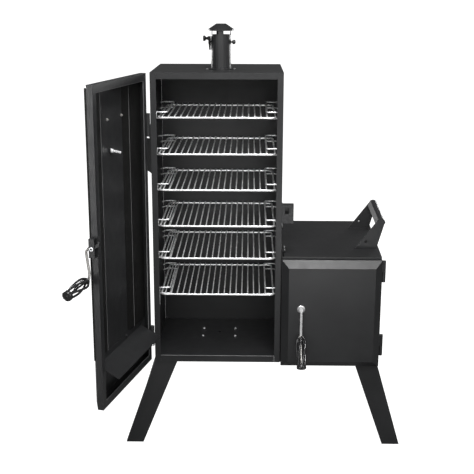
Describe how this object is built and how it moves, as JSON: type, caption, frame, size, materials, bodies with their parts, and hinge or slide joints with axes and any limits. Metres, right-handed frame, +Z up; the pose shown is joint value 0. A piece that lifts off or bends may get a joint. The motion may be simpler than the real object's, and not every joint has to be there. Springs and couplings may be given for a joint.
{
  "type": "vertical offset charcoal smoker",
  "caption": "Black upright smoker cabinet on splayed legs with an open door, chromed wire racks, a capped chimney and an offset firebox with its own door and lid.",
  "frame": {"origin": "middle of the underside of the front left foot", "axes": "+X to the right along the front, +Y to the back, +Z up"},
  "size_m": [1.083, 0.9461, 1.476],
  "materials": {
    "black_paint": "satin black high-heat powder coat with a fine grain",
    "chrome_wire": "bright plated wire",
    "chrome_parts": "bright plated steel",
    "grip_wire": "dark spiral wire with worn bright edges",
    "dial_face": "matte white dial with plain marks",
    "needle_red": "satin red",
    "clear_glass": "clear",
    "bare_steel": "zinc plated",
    "iron_grate": "rough dark iron"
  },
  "bodies": {
    "base": {"cabinet_left": "black_paint", "cabinet_right": "black_paint", "cabinet_back": "black_paint", "cabinet_top": "black_paint", "cabinet_floor": "black_paint", "rack_guide_left": "chrome_wire", "rack_guide_right": "chrome_wire", "chimney_pipe": "black_paint", "chimney_cap": "black_paint", "latch_keeper": "black_paint", "door_hinge_upper_fixed": "black_paint", "door_hinge_lower_fixed": "black_paint", "firebox_hinge_upper_fixed": "black_paint", "firebox_hinge_lower_fixed": "black_paint", "firebox_left": "black_paint", "firebox_right": "black_paint", "firebox_back": "black_paint", "firebox_floor": "black_paint", "firebox_front": "black_paint", "lid_hinge_front": "black_paint", "lid_hinge_rear": "black_paint", "side_handle": "black_paint", "charcoal_grate": "iron_grate", "ash_pan": "bare_steel", "leg_front_left": "black_paint", "leg_front_right": "black_paint", "leg_rear_left": "black_paint", "leg_rear_right": "black_paint", "tray_rail_left": "bare_steel", "tray_rail_right": "bare_steel"},
    "damper": {"damper_plate": "black_paint", "damper_lever": "black_paint"},
    "main_door": {"door_shell": "black_paint", "door_drip_plate": "black_paint", "door_badge": "bare_steel", "thermometer_case": "chrome_parts", "thermometer_dial": "dial_face", "thermometer_lens": "clear_glass", "thermometer_nut": "bare_steel", "latch_bracket": "black_paint", "door_hinge_upper_moving": "black_paint", "door_hinge_lower_moving": "black_paint"},
    "needle": {"thermometer_needle": "needle_red"},
    "door_handle": {"door_handle_rod": "chrome_parts", "door_handle_grip": "grip_wire"},
    "small_door": {"firebox_door": "black_paint", "firebox_hinge_upper_moving": "black_paint", "firebox_hinge_lower_moving": "black_paint"},
    "small_door_handle": {"firebox_handle_rod": "chrome_parts", "firebox_handle_grip": "grip_wire"},
    "lid": {"firebox_lid": "black_paint", "lid_handle": "black_paint"},
    "shutter": {"air_shutter": "black_paint"},
    "tray": {"grease_tray": "bare_steel"},
    "rack_1_body": {"rack_1": "chrome_wire"},
    "rack_2_body": {"rack_2": "chrome_wire"},
    "rack_3_body": {"rack_3": "chrome_wire"},
    "rack_4_body": {"rack_4": "chrome_wire"},
    "rack_5_body": {"rack_5": "chrome_wire"},
    "rack_6_body": {"rack_6": "chrome_wire"}
  },
  "joints": [
    {"name": "main_door_hinge", "type": "hinge", "parent": "base", "child": "main_door", "pos_m": [0.071, -0.021, 0.78], "axis": [0, 0, -1], "range_deg": [-104, 46]},
    {"name": "main_door_handle", "type": "hinge", "parent": "main_door", "child": "door_handle", "pos_m": [-0.04999, -0.46286, 0.849], "axis": [0.2419, 0.9703, 0], "range_deg": [0, 70]},
    {"name": "thermometer_pointer", "type": "hinge", "parent": "main_door", "child": "needle", "pos_m": [-0.03192, -0.26433, 1.107], "axis": [0.9703, -0.2419, 0], "range_deg": [-60, 120]},
    {"name": "firebox_door_hinge", "type": "hinge", "parent": "base", "child": "small_door", "pos_m": [0.873, -0.021, 0.5], "axis": [0, 0, 1], "range_deg": [0, 120]},
    {"name": "firebox_door_handle", "type": "hinge", "parent": "small_door", "child": "small_door_handle", "pos_m": [0.59, -0.0585, 0.526], "axis": [0, -1, 0], "range_deg": [0, 90]},
    {"name": "firebox_lid_hinge", "type": "hinge", "parent": "base", "child": "lid", "pos_m": [0.5295, -0.0185, 0.706], "axis": [0, -0.997, -0.0778], "range_deg": [0, 70]},
    {"name": "chimney_damper", "type": "hinge", "parent": "base", "child": "damper", "pos_m": [0.31, 0.1445, 1.415], "axis": [1, 0, 0], "range_deg": [0, 90]},
    {"name": "air_shutter_turn", "type": "hinge", "parent": "base", "child": "shutter", "pos_m": [0.863, 0.1815, 0.385], "axis": [1, 0, 0], "range_deg": [0, 60]},
    {"name": "grease_tray_slide", "type": "slide", "parent": "base", "child": "tray", "axis": [0, -1, 0], "range_m": [0, 0.2]},
    {"name": "rack_1_slide", "type": "slide", "parent": "base", "child": "rack_1_body", "axis": [0, -1, 0], "range_m": [0, 0.3]},
    {"name": "rack_2_slide", "type": "slide", "parent": "base", "child": "rack_2_body", "axis": [0, -1, 0], "range_m": [0, 0.3]},
    {"name": "rack_3_slide", "type": "slide", "parent": "base", "child": "rack_3_body", "axis": [0, -1, 0], "range_m": [0, 0.3]},
    {"name": "rack_4_slide", "type": "slide", "parent": "base", "child": "rack_4_body", "axis": [0, -1, 0], "range_m": [0, 0.3]},
    {"name": "rack_5_slide", "type": "slide", "parent": "base", "child": "rack_5_body", "axis": [0, -1, 0], "range_m": [0, 0.3]},
    {"name": "rack_6_slide", "type": "slide", "parent": "base", "child": "rack_6_body", "axis": [0, -1, 0], "range_m": [0, 0.3]}
  ]
}
